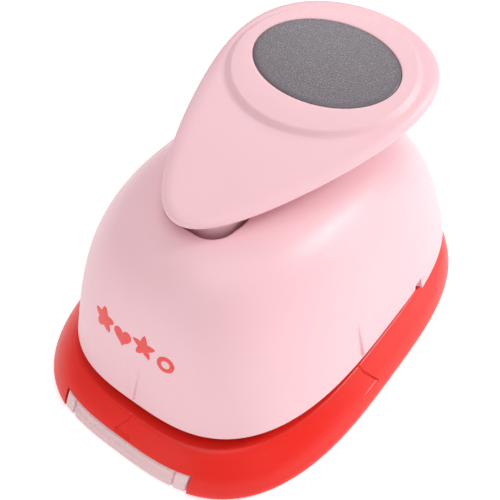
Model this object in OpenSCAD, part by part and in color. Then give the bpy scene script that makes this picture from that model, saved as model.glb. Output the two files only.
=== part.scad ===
// Lever craft punch: a domed housing on a flared base, a paper throat between them,
// a hinged lever on top and a chip tray underneath.
// Frame: origin on the table under the middle of the base, +Z up, -Y front, +X right.

/* [Base] */
// Length of the base, front to rear
base_len = 95; // [95:1:118]
// Width of the base
base_wid = 65.6; // [65.6:0.2:82]
// Squareness of the base outline, 2 is an ellipse
base_square = 3.03; // [2.8:0.01:3.6]
// Height of the deck that the paper lies on
deck_z = 7.9; // [7.9:0.1:10]
// How far the top edge of the base lies inside its foot, at the front and sides
rim_inset = 5.1; // [3:0.1:5.2]
// The same inset at the rear
rear_inset = 2.2; // [1.5:0.1:3]
// Thickness of the rim wall
rim_wall = 2.4; // [1.6:0.1:2.6]

/* [Housing] */
// Ledge of the base that shows in front of the housing
front_ledge = 5.9; // [4.5:0.1:7]
// Ledge of the base behind the housing
rear_ledge = 1.3; // [1:0.1:2.5]
// Ledge of the base at each side of the housing
side_ledge = 4.4; // [3:0.1:4.6]
// Height of the housing's roof above the table
roof_z = 42.5; // [42:0.1:46]
// Width of the paper throat that shows between deck and housing
throat_h = 3.1; // [3:0.1:3.4]
// Wall thickness of the housing
house_wall = 2.2; // [1.6:0.1:2.4]
// Lean of the housing's walls, in degrees
draft = 11.9; // [9:0.1:12]
// Fall of the roof towards the rear, rise over run
roof_slope = 0.08; // [0.04:0.01:0.1]

/* [Lever] */
// Tilt of the lever at rest, in degrees
lever_tilt = 8; // [7.5:0.1:10]
// Height of the lever's top face above the housing's roof, over the middle of the base
lever_rise = 8.6; // [8.2:0.1:11]
// Half width of the lever, before its tail swells
lever_a = 18.5; // [17.5:0.1:21]
// Half length of the lever
lever_b = 31.5; // [30.5:0.1:35]
// Share by which the lever's tail is wider than its nose
lever_swell = 0.45; // [0.3:0.01:0.5]
// Depth of the skirt at the nose
nose_skirt = 2; // [1.9:0.1:2.2]
// Depth of the skirt at the tail
tail_skirt = 3.7; // [3.5:0.1:5.5]
// Rim of the raised step at each side of the grip pad
pad_side = 3.9; // [3:0.1:5]
// Rim of the raised step in front of the grip pad and behind it
pad_ends = 6.8; // [6:0.1:8]

/* [Mechanism] */
// Diameter of the punched disc
punch_d = 25.4; // [19:0.1:26]
// Radial clearance of the punch in its plates
punch_fit = 0.04; // [0.02:0.01:0.08]
// Distance from the lever's pin to the middle of the punch
cam_arm = 12.6; // [12:0.1:13]
// Diameter of the lever's pin
pin_d = 3; // [2.5:0.1:3.4]
// Radial clearance of a running pin or post
pin_fit = 0.05; // [0.03:0.01:0.08]
// Depth of the lever's pin below the housing's roof
pin_depth = 7.5; // [6.5:0.1:7.9]
// Gap between the steel plates, which the paper slides into
paper_gap = 1.2; // [0.8:0.1:1.4]
// Thickness of the die plate
die_t = 1.9; // [1.5:0.1:1.9]
// Thickness of the guide plate
guide_t = 2.2; // [1.8:0.1:2.6]
// Steel left outside the screws at each side of the plates
plate_edge = 2.8; // [2.4:0.1:3.2]
// Length of the spacer that holds the plates apart behind the throat
spacer_len = 14; // [13:0.5:14.5]

/* [Chip tray] */
// Room between the punched disc and each side wall of the tray
tray_room = 0.6; // [0.4:0.1:1.2]
// Height of the tray's front lip
lip_top = 4; // [3.8:0.1:4]
// Gap at each side of the tray
tray_gap = 0.3; // [0.25:0.05:0.4]
// Wall thickness of the tray
tray_wall = 0.9; // [0.8:0.1:1.2]

/* [Hidden] */

$fn = 64;
AROUND = 64;                       // points round each moulded outline
EPS = 0.01;
CUT = 1;                           // how far a cutter runs past the face it opens

// Base
base_front = -base_len / 2;
deck_under = deck_z - die_t;       // underside of the deck, where the die plate seats
cavity_z = 4.4;                    // where the rim's thick upper part begins
cavity_inset = rim_inset + 1.3;
plate_gap = 0.2;                   // between the plates and the pocket they drop into
plate_r = 5;                       // corner radius of the plates

// Housing
house_len = base_len - front_ledge - rear_ledge;
house_wid = base_wid - 2 * side_ledge;
house_y = (front_ledge - rear_ledge) / 2;
house_square = 2.97;
throat_z = deck_z + throat_h;
house_rear_z = deck_z + 0.3;       // the rear of the housing comes down almost to the deck
dome_power = 4.36;
roof_square = 2.43;
roof_y = house_y - 4;
slot_r = 4.4;
nick_h = 1;                        // nick above each end of the throat
stop_x = house_wid / 2 - 2;
stop_z = throat_z + nick_h - 0.25;
pin_z = roof_z - pin_depth;

// Punch stack, from the table up
punch_y = -7.6;
guide_z = deck_z + paper_gap;      // underside of the guide plate
guide_top = guide_z + guide_t;
punch_r = punch_d / 2;
cutter_z = guide_z + 0.1;          // cutting edge at rest
cutter_h = 10;
flange_z = cutter_z + cutter_h;
flange_t = 4;
cam_r = 5.4;
cam_gap = 0.1;
wear_t = 0.8;
plunger_top = pin_z - cam_r - cam_gap - wear_t;
cutter_screw_r = 1.2;
cutter_screw_x = punch_r - 2.9;
hub_r = cutter_screw_x - 2 * cutter_screw_r - 0.4;
wear_r = hub_r - 1;

// Guide posts and springs
post_r = 2;
post_x = punch_r + 4.8;
post_top = flange_z + flange_t + 7;
sleeve_r = 3.7;
sleeve_top = flange_z + flange_t + 4;
collar_r = 2.9;
collar_h = 0.8;
wire_d = 0.9;
spring_r = 3;                      // middle of the wire to the post's axis
spring_turns = 5;
spring_hole_r = spring_r + wire_d / 2 + 0.5;
spring_fn = 8;                     // facets round the wire

// Plates, from the tray's rails outwards
spacer_front = 17;
plate_rear = spacer_front + spacer_len;
plate_front = -plate_rear;

// Tray
tray_z = 0.4;
tray_floor = 0.8;
tray_rear = plate_rear + 1;
tray_half = punch_r + tray_room + tray_wall;
lip_wid = 2 * (tray_half + 0.9);
tray_wall_top = lip_top - 0.3;
flange_out = 0.8;
flange_lo = 2.6;
flange_hi = 3.4;
rail_t = 1.6;
rail_half = tray_half + tray_gap + flange_out + tray_gap + rail_t;
rail_front = base_front + 8;
rail_rear = tray_rear + 2;
lip_back = base_front + rim_inset - 0.6;
lip_recess = 0.1;

// Screws
screw_gap = 0.05;
bore_gap = 0.2;                    // round a screw that passes through plastic
bore_z = 2.4;                      // depth of the pockets for the screw heads
base_screw_r = 1.25;
base_head_r = 2.8;                 // pocket for the head
base_screw_x = rail_half + 2;
base_screw_y = plate_rear - 5;
base_boss_r = 3.2;
plate_screw_r = 1.5;
plate_screw_x = 9.5;
plate_screw_y = [spacer_front + 3.5, plate_rear - 3.5];
plate_wid = 2 * (base_screw_x + plate_edge);
front_screw_r = 1.25;
front_screw_x = plate_wid / 2 - 5.5;
front_screw_y = plate_front + 6;
rear_screw_r = 1.4;
rear_head_r = 2.99;
rear_screw_x = 16;
rear_screw_y = base_len / 2 - 11.5;
boss_foot = 0.6;                   // lowest face of the base's bosses

// Chassis
chassis_t = 2.5;
chassis_top = guide_top + chassis_t;
chassis_rear = plate_rear - 1.5;
chassis_front = plate_front + 1.5;
chassis_wid = plate_wid - 2;
cheek_t = 2.6;
arm_half = 6;
arm_gap = 0.3;
cheek_x = arm_half + arm_gap;
pin_y = punch_y - cam_arm;
cheek_r = 4;
boss_h = 6.5;

// Lever, in its own tilted frame
lever_z = roof_z + lever_rise;
lever_y = 3.5;                     // middle of the lever's length
lever_full = 0.13;                 // keeps both ends of the outline full
plate_t = 1.7;                     // roof of the lever shell
shell_wall = 1.3;
step_a = lever_a - 0.2;
step_b = lever_b - 13.7;
step_y = lever_y + 11.2;
step_h = 0.9;
pad_a = step_a - pad_side;
pad_b = step_b - pad_ends;
pad_y = step_y + 0.8;
pad_t = 1.3;
pad_gap = 0.1;
nose_tip = lever_y - lever_b;
tail_tip = lever_y + lever_b;
arm_flange_t = 1.5;
arm_flange_half = 5;
arm_flange_rear = 12;
arm_front = pin_y - 3.9;
arm_rear = punch_y + 6.2;
arm_r = 4.8;                       // rounding of the arm's upright front edges
arm_seat = 0.02;                   // glue line between the arm and the shell's roof
slot_front = arm_front - 1.1;
slot_rear = arm_rear + 5;
slot_wid = 2 * arm_half + 1.2;

// ---- shapes ----

function sgn_pow(v, p) = sign(v) * pow(abs(v), p);

// One point of a superellipse outline
function oval(a, b, n, t) = [a * sgn_pow(cos(t), 2 / n), b * sgn_pow(sin(t), 2 / n)];

// A closed ring of points: half sizes a and b, squareness n, centre cy, height z, and slope
function ring(a, b, n, cy, z, slope = 0) = [
    for (i = [0 : AROUND - 1])
        let (p = oval(a, b, n, 360 * i / AROUND))
        [p.x, p.y + cy, z - slope * (p.y + cy)]
];

// A closed skin over a list of rings, with a flat cap at each end
module loft(rings) {
    k = len(rings[0]);
    m = len(rings);
    pts = [for (r = rings) each r];
    walls = [
        for (j = [0 : m - 2], i = [0 : k - 1])
            let (a = j * k + i, b = j * k + (i + 1) % k)
            each [[a, a + k, b + k], [a, b + k, b]]
    ];
    lower = [for (i = [0 : k - 1]) i];
    upper = [for (i = [0 : k - 1]) m * k - 1 - i];
    polyhedron(points = pts, faces = concat(walls, [lower], [upper]));
}

// A rectangle with round corners, centred in X, from y0 to y1
module rounded_plate(wid, y0, y1, r, z0, z1) {
    translate([0, 0, z0])
        linear_extrude(z1 - z0)
            union() {
                translate([-wid / 2 + r, y0])
                    square([wid - 2 * r, y1 - y0]);
                translate([-wid / 2, y0 + r])
                    square([wid, y1 - y0 - 2 * r]);
                for (x = [-1, 1], y = [y0 + r, y1 - r])
                    translate([x * (wid / 2 - r), y])
                        circle(r);
            }
}

module column(x, y, r, z0, z1) {
    translate([x, y, z0])
        cylinder(r = r, h = z1 - z0);
}

// A block given by its two corners
module block(low, high) {
    translate(low)
        cube(high - low);
}

// A countersunk screw whose flat face is at z and whose shank runs up
module countersunk(x, y, r, z, length, grow = 0) {
    head = r * 0.9;
    translate([x, y, z - grow])
        cylinder(r1 = r + head + grow, r2 = r + grow, h = head + grow);
    column(x, y, r + grow, z, z + length + grow);
}

// A pan head screw whose head seats at z and whose shank runs up
module pan_screw(x, y, r, z, length) {
    difference() {
        column(x, y, 2 * r, z - 1.1 * r, z);
        for (a = [0, 90])
            translate([x, y, z - 1.1 * r])
                rotate(a)
                    cube([2.2 * r, 0.5, r], center = true);
    }
    column(x, y, r, z - EPS, z + length);
}

// A coil spring of round wire, its middle line from z0 to z1
module coil(z0, z1) {
    steps = spring_turns * 16;
    loft([
        for (j = [0 : steps])
            let (
                t = 360 * spring_turns * j / steps,
                pitch = (z1 - z0) / (360 * spring_turns) * 180 / PI,
                lean = atan(pitch / spring_r)
            )
            [
                for (i = [0 : spring_fn - 1])
                    let (
                        w = 360 * i / spring_fn,
                        u = wire_d / 2 * cos(w),
                        v = wire_d / 2 * sin(w)
                    )
                    [
                        (spring_r + u) * cos(t) + v * sin(lean) * sin(t),
                        (spring_r + u) * sin(t) - v * sin(lean) * cos(t),
                        z0 + (z1 - z0) * j / steps + v * cos(lean)
                    ]
            ]
    ]);
}

// ---- base and what is fixed in it ----

// Outer outline of the base at height z, drawn in by grow
function base_ring(z, inset, grow = 0) =
    let (
        share = inset / rim_inset,
        front = base_len / 2 - inset - grow,
        rear = base_len / 2 - share * rear_inset - grow
    )
    ring(base_wid / 2 - inset - grow, (front + rear) / 2, base_square, (rear - front) / 2, z);

module base_body(grow = 0) {
    loft([
        base_ring(0, 0.35, grow),
        base_ring(0.5, 0, grow),
        base_ring(deck_z * 0.35, 0.14 * rim_inset, grow),
        base_ring(deck_z * 0.6, 0.36 * rim_inset, grow),
        base_ring(deck_z * 0.8, 0.62 * rim_inset, grow),
        base_ring(deck_z * 0.95, 0.88 * rim_inset, grow),
        base_ring(deck_z, rim_inset, grow)
    ]);
}

module base_cavity(inset, top) {
    translate([0, 0, -CUT])
        linear_extrude(top + CUT)
            polygon([
                for (i = [0 : AROUND - 1])
                    oval(base_wid / 2 - inset, base_len / 2 - inset, base_square, 360 * i / AROUND)
            ]);
}

// Rail at one side of the tray, with the groove that its flange slides in
module tray_rail(side) {
    face = tray_half + tray_gap;
    groove = flange_out + tray_gap;
    mirror([side < 0 ? 1 : 0, 0, 0])
        difference() {
            block([face, rail_front, tray_z], [face + groove + rail_t, rail_rear, deck_under + EPS]);
            block([face - CUT, rail_front - CUT, flange_lo - 0.2],
                [face + groove, rail_rear + CUT, flange_hi + 0.2]);
        }
}

module base() {
    color("#e8433a")
        difference() {
            union() {
                difference() {
                    base_body();
                    base_cavity(rim_wall, cavity_z);
                    base_cavity(cavity_inset, deck_under);
                }
                for (side = [-1, 1]) {
                    tray_rail(side);
                    for (y = [-base_screw_y, base_screw_y]) {
                        column(side * base_screw_x, y, base_boss_r, boss_foot, deck_under + EPS);
                        block([side > 0 ? base_screw_x : -base_wid / 2 + cavity_inset, y - 0.8, 1.5],
                            [side > 0 ? base_wid / 2 - cavity_inset : -base_screw_x, y + 0.8,
                                deck_under + EPS]);
                    }
                    column(side * rear_screw_x, rear_screw_y, base_boss_r, boss_foot, deck_under + EPS);
                    // end wall of the throat, inside the housing
                    block([side > 0 ? plate_wid / 2 + plate_gap : -house_wid / 2 + house_wall + 2.4,
                            spacer_front, deck_z - EPS],
                        [side > 0 ? house_wid / 2 - house_wall - 2.4 : -plate_wid / 2 - plate_gap,
                            spacer_front + 8, throat_z + 1.5]);
                    // stop that shows in the nick at the end of the throat
                    block([side > 0 ? plate_wid / 2 + plate_gap : -stop_x, spacer_front - 2.1, deck_z - EPS],
                        [side > 0 ? stop_x : -plate_wid / 2 - plate_gap, spacer_front - 0.2, stop_z]);
                }
            }
            // pocket for the die plate
            rounded_plate(plate_wid + 2 * plate_gap, plate_front - plate_gap,
                plate_rear + plate_gap, plate_r + plate_gap, deck_under, deck_z + CUT);
            // window under the punch, between the rails
            block([-tray_half, plate_front, cavity_z], [tray_half, tray_rear, deck_under + CUT]);
            // way in for the tray
            block([-tray_half - tray_gap, rail_front - CUT, tray_z], [tray_half + tray_gap,
                plate_front + CUT, deck_under]);
            // notch for the tray's lip
            block([-lip_wid / 2 - tray_gap, base_front - CUT, -CUT],
                [lip_wid / 2 + tray_gap, rail_front, lip_top + tray_gap]);
            for (x = [-base_screw_x, base_screw_x], y = [-base_screw_y, base_screw_y]) {
                column(x, y, base_screw_r + bore_gap, -CUT, deck_z);
                column(x, y, base_head_r, -CUT, bore_z);
            }
            for (x = [-rear_screw_x, rear_screw_x]) {
                column(x, rear_screw_y, rear_screw_r + bore_gap, -CUT, deck_z + CUT);
                column(x, rear_screw_y, rear_head_r, -CUT, bore_z);
            }
        }
}

module base_screws() {
    color("silver")
        for (x = [-base_screw_x, base_screw_x], y = [-base_screw_y, base_screw_y])
            pan_screw(x, y, base_screw_r, bore_z, deck_z - 0.1 - bore_z);
}

module housing_screws() {
    color("silver")
        for (x = [-rear_screw_x, rear_screw_x])
            pan_screw(x, rear_screw_y, rear_screw_r, bore_z, 15);
}

module chip_tray() {
    color([0.95, 0.85, 0.88, 0.5])
        union() {
            difference() {
                block([-tray_half, lip_back - EPS, tray_z], [tray_half, tray_rear, tray_wall_top]);
                block([-tray_half + tray_wall, lip_back + tray_wall, tray_z + tray_floor],
                    [tray_half - tray_wall, tray_rear - tray_wall, tray_wall_top + CUT]);
            }
            for (side = [-1, 1])
                block([side > 0 ? tray_half - EPS : -tray_half - flange_out, rail_front, flange_lo],
                    [side > 0 ? tray_half + flange_out : -tray_half + EPS, tray_rear, flange_hi]);
            intersection() {
                base_body(lip_recess);
                block([-lip_wid / 2, base_front - CUT, tray_z], [lip_wid / 2, lip_back, lip_top]);
            }
        }
}

// ---- steel plates ----

module die_plate() {
    color("silver")
        difference() {
            rounded_plate(plate_wid, plate_front, plate_rear, plate_r, deck_under, deck_z);
            column(0, punch_y, punch_r + punch_fit, deck_under - CUT, deck_z + CUT);
            for (x = [-base_screw_x, base_screw_x], y = [-base_screw_y, base_screw_y])
                column(x, y, base_screw_r + screw_gap, deck_under - CUT, deck_z + CUT);
            for (x = [-plate_screw_x, plate_screw_x], y = plate_screw_y)
                countersunk(x, y, plate_screw_r, deck_under, 3, screw_gap);
        }
}

module plate_spacer() {
    color("gray")
        difference() {
            rounded_plate(plate_wid, spacer_front, plate_rear, 1.5, deck_z, guide_z);
            for (x = [-plate_screw_x, plate_screw_x], y = plate_screw_y)
                column(x, y, plate_screw_r + screw_gap, deck_z - CUT, guide_z + CUT);
        }
}

module guide_plate() {
    color("lightgray")
        difference() {
            rounded_plate(plate_wid, plate_front, plate_rear, plate_r, guide_z, guide_top);
            column(0, punch_y, punch_r + punch_fit, guide_z - CUT, guide_top + CUT);
            for (x = [-post_x, post_x])
                column(x, punch_y, post_r, guide_z - CUT, guide_top + CUT);
            for (x = [-plate_screw_x, plate_screw_x], y = plate_screw_y)
                column(x, y, plate_screw_r + screw_gap, guide_z - CUT, guide_top + CUT);
            for (x = [-front_screw_x, front_screw_x])
                countersunk(x, front_screw_y, front_screw_r, guide_z, 4, screw_gap);
        }
}

module guide_posts() {
    color("gainsboro")
        for (x = [-post_x, post_x]) {
            column(x, punch_y, post_r, guide_z, post_top);
            column(x, punch_y, collar_r, guide_top, guide_top + collar_h);
        }
}

module plate_screws() {
    color("silver")
        for (x = [-plate_screw_x, plate_screw_x], y = plate_screw_y)
            countersunk(x, y, plate_screw_r, deck_under, guide_top + chassis_t + 4 - deck_under);
}

module chassis_screws() {
    color("silver")
        for (x = [-front_screw_x, front_screw_x])
            countersunk(x, front_screw_y, front_screw_r, guide_z, guide_t + chassis_t + 3);
}

// ---- inner frame ----

module cheek(x) {
    translate([x, 0, 0])
        rotate([90, 0, 90])
            linear_extrude(cheek_t) {
                polygon([
                    [chassis_front, guide_top],
                    [punch_y - punch_r - 1.2, guide_top],
                    [punch_y - punch_r - 1.2, flange_z + flange_t],
                    [pin_y + cheek_r, pin_z - cheek_r],
                    [pin_y + cheek_r, pin_z],
                    [pin_y - cheek_r, pin_z],
                    [pin_y - cheek_r, pin_z - cheek_r],
                    [chassis_front, guide_top + 9]
                ]);
                translate([pin_y, pin_z])
                    circle(cheek_r);
            }
}

module chassis() {
    color("white")
        difference() {
            union() {
                difference() {
                    union() {
                        rounded_plate(chassis_wid, chassis_front, chassis_rear, plate_r - 1,
                            guide_top, chassis_top);
                        for (x = [-post_x, post_x])
                            column(x, punch_y, spring_hole_r + 1.8, guide_top, chassis_top);
                    }
                    column(0, punch_y, punch_r + 1, guide_top - CUT, chassis_top + CUT);
                    for (x = [-post_x, post_x])
                        column(x, punch_y, spring_hole_r, guide_top - CUT, chassis_top + CUT);
                }
                cheek(cheek_x);
                cheek(-cheek_x - cheek_t);
                block([-cheek_x - EPS, chassis_front, guide_top],
                    [cheek_x + EPS, chassis_front + 2, guide_top + 9]);
                for (x = [-plate_screw_x, plate_screw_x], y = plate_screw_y)
                    column(x, y, 3.2, chassis_top - EPS, chassis_top + boss_h);
                for (x = [-front_screw_x, front_screw_x])
                    column(x, front_screw_y, 3, chassis_top - EPS, chassis_top + boss_h - 2);
                for (x = [-plate_screw_x, plate_screw_x])
                    block([x - 0.8, plate_screw_y[0], chassis_top - EPS],
                        [x + 0.8, plate_screw_y[1], chassis_top + boss_h - 1]);
            }
            for (x = [-plate_screw_x, plate_screw_x], y = plate_screw_y)
                column(x, y, plate_screw_r + screw_gap, guide_top - CUT, chassis_top + boss_h - 1);
            for (x = [-front_screw_x, front_screw_x])
                column(x, front_screw_y, front_screw_r + screw_gap, guide_top - CUT,
                    chassis_top + boss_h - 3);
            translate([-cheek_x - cheek_t - CUT, pin_y, pin_z])
                rotate([0, 90, 0])
                    cylinder(r = pin_d / 2 + screw_gap, h = 2 * (cheek_x + cheek_t + CUT));
        }
}

// ---- springs ----

spring_z0 = guide_top + collar_h + wire_d / 2 + 0.05;
spring_z1 = flange_z - wire_d / 2 - 0.05;

module spring_left() {
    color("gray")
        translate([-post_x, punch_y, 0])
            coil(spring_z0, spring_z1);
}

module spring_right() {
    color("gray")
        translate([post_x, punch_y, 0])
            coil(spring_z0, spring_z1);
}

// ---- what the lever pushes down ----

module punch_cutter() {
    color("lightsteelblue")
        difference() {
            column(0, punch_y, punch_r, cutter_z, flange_z);
            // hollow shear face, so the rim bites first at both sides
            translate([0, punch_y + punch_r + CUT, cutter_z - 79])
                rotate([90, 0, 0])
                    cylinder(r = 80, h = 2 * (punch_r + CUT), $fn = 180);
            for (x = [-cutter_screw_x, cutter_screw_x])
                column(x, punch_y, cutter_screw_r + screw_gap, flange_z - 6, flange_z + CUT);
        }
}

module plunger() {
    color("whitesmoke")
        difference() {
            union() {
                block([-post_x, punch_y - 5.5, flange_z], [post_x, punch_y + 5.5, flange_z + flange_t]);
                column(0, punch_y, punch_r - 1, flange_z, flange_z + 2);
                column(0, punch_y, hub_r, flange_z, plunger_top);
                for (x = [-post_x, post_x])
                    column(x, punch_y, sleeve_r, flange_z, sleeve_top);
            }
            for (x = [-post_x, post_x])
                column(x, punch_y, post_r + pin_fit, flange_z - CUT, sleeve_top + CUT);
            for (x = [-cutter_screw_x, cutter_screw_x])
                column(x, punch_y, cutter_screw_r + 0.2, flange_z - CUT, flange_z + flange_t + CUT);
            column(0, punch_y, wear_r - 1.5 + screw_gap, plunger_top - 1, plunger_top + CUT);
        }
}

module wear_plate() {
    color("silver")
        union() {
            column(0, punch_y, wear_r, plunger_top, plunger_top + wear_t);
            column(0, punch_y, wear_r - 1.5, plunger_top - 0.9, plunger_top + EPS);
        }
}

module cutter_screws() {
    seat = flange_z + flange_t;
    color("silver")
        for (x = [-cutter_screw_x, cutter_screw_x])
            translate([x, punch_y, seat])
                rotate([180, 0, 0])
                    pan_screw(0, 0, cutter_screw_r, 0, flange_t + 5);
}

// ---- lever ----

module lever_frame() {
    translate([0, 0, lever_z])
        rotate([lever_tilt, 0, 0])
            children();
}

// Depth of the skirt along the lever
function skirt(y) =
    nose_skirt + (tail_skirt - nose_skirt) * (y - nose_tip) / (tail_tip - nose_tip);

// The outline's point at parameter t, drawn in by inset square to the outline
function egg(inset, t) =
    let (
        c = cos(t), s = sin(t),
        swell = 1 + lever_swell * s + lever_full * s * s,
        along = [lever_a * (c * c * (lever_swell + 2 * lever_full * s) - s * swell), lever_b * c],
        out = [along.y, -along.x] / norm(along)
    )
    [lever_a * c * swell, lever_y + lever_b * s] - inset * out;

// Ring of the lever shell: inset from the outline, depth as a share of the skirt, plus z
function lever_ring(inset, share, z) = [
    for (i = [0 : AROUND - 1])
        let (p = egg(inset, 360 * (i + 0.5) / AROUND))
        [p.x, p.y, z - share * skirt(p.y)]
];

// The outline shrunk to a share of its size, as a ring at height z
function core_ring(share, z) = [
    for (i = [0 : AROUND - 1])
        let (p = egg(0, 360 * (i + 0.5) / AROUND))
        [share * p.x, lever_y + share * (p.y - lever_y), z]
];

// Ring of an oval on the lever
function oval_ring(a, b, cy, z) = [
    for (i = [0 : AROUND - 1])
        let (t = 360 * (i + 0.5) / AROUND)
        [a * cos(t), cy + b * sin(t), z]
];

module lever_top() {
    color("#f5c6cf")
        lever_frame()
            loft([
                core_ring(0.7, -plate_t),
                lever_ring(shell_wall + 0.6, 0, -plate_t),
                lever_ring(shell_wall, 0.15, -plate_t + nose_skirt * 0.1),
                lever_ring(shell_wall, 1, 0),
                lever_ring(0.9, 1, 0),
                lever_ring(0.3, 0.75, 0),
                lever_ring(0, 0.4, 0),
                lever_ring(0.35, 0.12, 0),
                lever_ring(1.2, 0, 0),
                oval_ring(step_a, step_b, step_y, 0),
                oval_ring(step_a - 0.5, step_b - 0.5, step_y, step_h * 0.75),
                oval_ring(step_a - 1.3, step_b - 1.3, step_y, step_h),
                oval_ring(pad_a + pad_gap, pad_b + pad_gap, pad_y, step_h),
                oval_ring(pad_a + pad_gap, pad_b + pad_gap, pad_y, step_h - pad_t)
            ]);
}

module grip_pad() {
    color("dimgray")
        lever_frame()
            loft([
                oval_ring(pad_a, pad_b, pad_y, step_h - pad_t),
                oval_ring(pad_a, pad_b, pad_y, step_h - 0.1),
                oval_ring(pad_a - 0.4, pad_b - 0.4, pad_y, step_h + 0.15),
                oval_ring(pad_a - 3, pad_b - 3, pad_y, step_h + 0.3)
            ]);
}

// Height of a plane of the tilted frame above the table, at table position y
function plane_z(depth, y) = lever_z - depth / cos(lever_tilt) + y * tan(lever_tilt);

lever_screw_r = 1;
lever_screw_y = [3.5, 8.5];

module lever_arm() {
    color("#f0b9c4")
        difference() {
            union() {
                intersection() {
                    translate([-arm_half, 0, 0])
                        rotate([90, 0, 90])
                            linear_extrude(2 * arm_half)
                                polygon([
                                    [arm_front, plane_z(plate_t + arm_seat, arm_front)],
                                    [arm_front, pin_z],
                                    [pin_y, pin_z - 3.4],
                                    [punch_y, pin_z - cam_r + 1.6],
                                    [punch_y + cam_r - 1, pin_z + 0.5],
                                    [arm_rear, pin_z + 6],
                                    [arm_rear, plane_z(plate_t + arm_seat, arm_rear)]
                                ]);
                    rounded_plate(2 * arm_half, arm_front, arm_rear + arm_r, arm_r, pin_z - cam_r, lever_z);
                }
                for (p = [[pin_y, 4.1], [punch_y, cam_r]])
                    translate([-arm_half, p[0], pin_z])
                        rotate([0, 90, 0])
                            cylinder(r = p[1], h = 2 * arm_half);
                lever_frame()
                    block([-arm_flange_half, arm_rear - 2, -plate_t - arm_flange_t],
                        [arm_flange_half, arm_flange_rear, -plate_t - arm_seat]);
            }
            translate([-arm_half - CUT, pin_y, pin_z])
                rotate([0, 90, 0])
                    cylinder(r = pin_d / 2 + pin_fit, h = 2 * (arm_half + CUT));
            lever_frame()
                for (y = lever_screw_y)
                    countersunk(0, y, lever_screw_r, -plate_t - arm_flange_t, arm_flange_t, screw_gap);
        }
}

module lever_screws() {
    color("silver")
        lever_frame()
            for (y = lever_screw_y)
                countersunk(0, y, lever_screw_r, -plate_t - arm_flange_t, arm_flange_t - 0.05);
}

pin_half = cheek_x + cheek_t + 1.9;
clip_x = cheek_x + cheek_t + 0.15;
clip_t = 0.7;
clip_groove = 0.4;

module pivot_pin() {
    color("gainsboro")
        difference() {
            translate([-pin_half, pin_y, pin_z])
                rotate([0, 90, 0])
                    cylinder(r = pin_d / 2, h = 2 * pin_half);
            for (x = [clip_x, -clip_x - clip_t])
                translate([x, pin_y, pin_z])
                    rotate([0, 90, 0])
                        difference() {
                            cylinder(r = pin_d, h = clip_t);
                            translate([0, 0, -CUT])
                                cylinder(r = pin_d / 2 - clip_groove, h = clip_t + 2 * CUT);
                        }
        }
}

module pin_clips() {
    color("dimgray")
        for (x = [clip_x, -clip_x - clip_t])
            translate([x + 0.05, pin_y, pin_z])
                rotate([0, 90, 0])
                    difference() {
                        cylinder(r = pin_d / 2 + 1.3, h = clip_t - 0.1);
                        translate([0, 0, -CUT])
                            cylinder(r = pin_d / 2 - clip_groove + 0.03, h = clip_t + 2 * CUT);
                        translate([-CUT * 4, -pin_d / 2 + 0.6, -CUT])
                            cube([CUT * 4, pin_d - 1.2, clip_t + 2 * CUT]);
                    }
}

// ---- housing ----

// Outline of the dome at share u of its arc, drawn in by wall
function dome_ring(u, wall, foot) =
    let (
        ph = 90 * u,
        rise = roof_z - wall - foot,
        lift = pow(sin(ph), 2 / dome_power),
        z = foot + rise * lift,
        h = (z - throat_z) / (roof_z - throat_z),
        lean = 1 - tan(draft) * (z - throat_z) / 38,
        s = pow(cos(ph), 2 / dome_power) * lean,
        n = house_square + (roof_square - house_square) * max(0, h),
        cy = house_y + (roof_y - house_y) * h
    )
    [
        for (p = ring((house_wid / 2 - wall) * s, (house_len / 2 - wall) * s, n, cy, z))
            [p.x, p.y, p.z - roof_slope * max(0, h) * (p.y - house_y)]
    ];

arc_out = [0, 0.0006, 0.004, 0.015, 0.04, 0.08, 0.14, 0.22, 0.31, 0.41, 0.52, 0.64, 0.76, 0.87, 0.95, 0.985];
arc_in = [0.97, 0.87, 0.7, 0.5, 0.32, 0.18, 0.08, 0.02, 0.002, 0];

module dome_shell() {
    loft(concat(
        [for (u = arc_in) dome_ring(u, house_wall, house_rear_z)],
        [for (u = arc_out) dome_ring(u, 0, house_rear_z)]
    ));
}

module housing() {
    color("#f6c9d1")
        difference() {
            union() {
                dome_shell();
                intersection() {
                    for (side = [-1, 1]) {
                        column(side * rear_screw_x, rear_screw_y, 3, house_rear_z, 22);
                        block([side > 0 ? rear_screw_x : -house_wid / 2, rear_screw_y - 0.7, house_rear_z],
                            [side > 0 ? house_wid / 2 : -rear_screw_x, rear_screw_y + 0.7, 22]);
                    }
                    loft([for (u = arc_out) dome_ring(u, 0.8, house_rear_z)]);
                }
            }
            // slot for the lever's arm
            rounded_plate(slot_wid, slot_front, slot_rear, slot_r, pin_z - 5, roof_z + 20);
            // paper throat, with the small nick at each end
            block([-base_wid, base_front - CUT, 0], [base_wid, spacer_front - 1.6, throat_z]);
            block([-base_wid, spacer_front - 3, 0], [base_wid, spacer_front, throat_z + nick_h]);
            for (x = [-rear_screw_x, rear_screw_x])
                column(x, rear_screw_y, rear_screw_r + screw_gap, 0, 20);
        }
}

base();
chip_tray();
die_plate();
plate_spacer();
guide_plate();
guide_posts();
base_screws();
plate_screws();
chassis();
chassis_screws();
spring_left();
spring_right();
punch_cutter();
plunger();
wear_plate();
cutter_screws();
pivot_pin();
pin_clips();
lever_arm();
lever_screws();
lever_top();
grip_pad();
housing();
housing_screws();
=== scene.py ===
import math

import bmesh
import bpy
import numpy as np
from mathutils import Matrix, Vector


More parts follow.
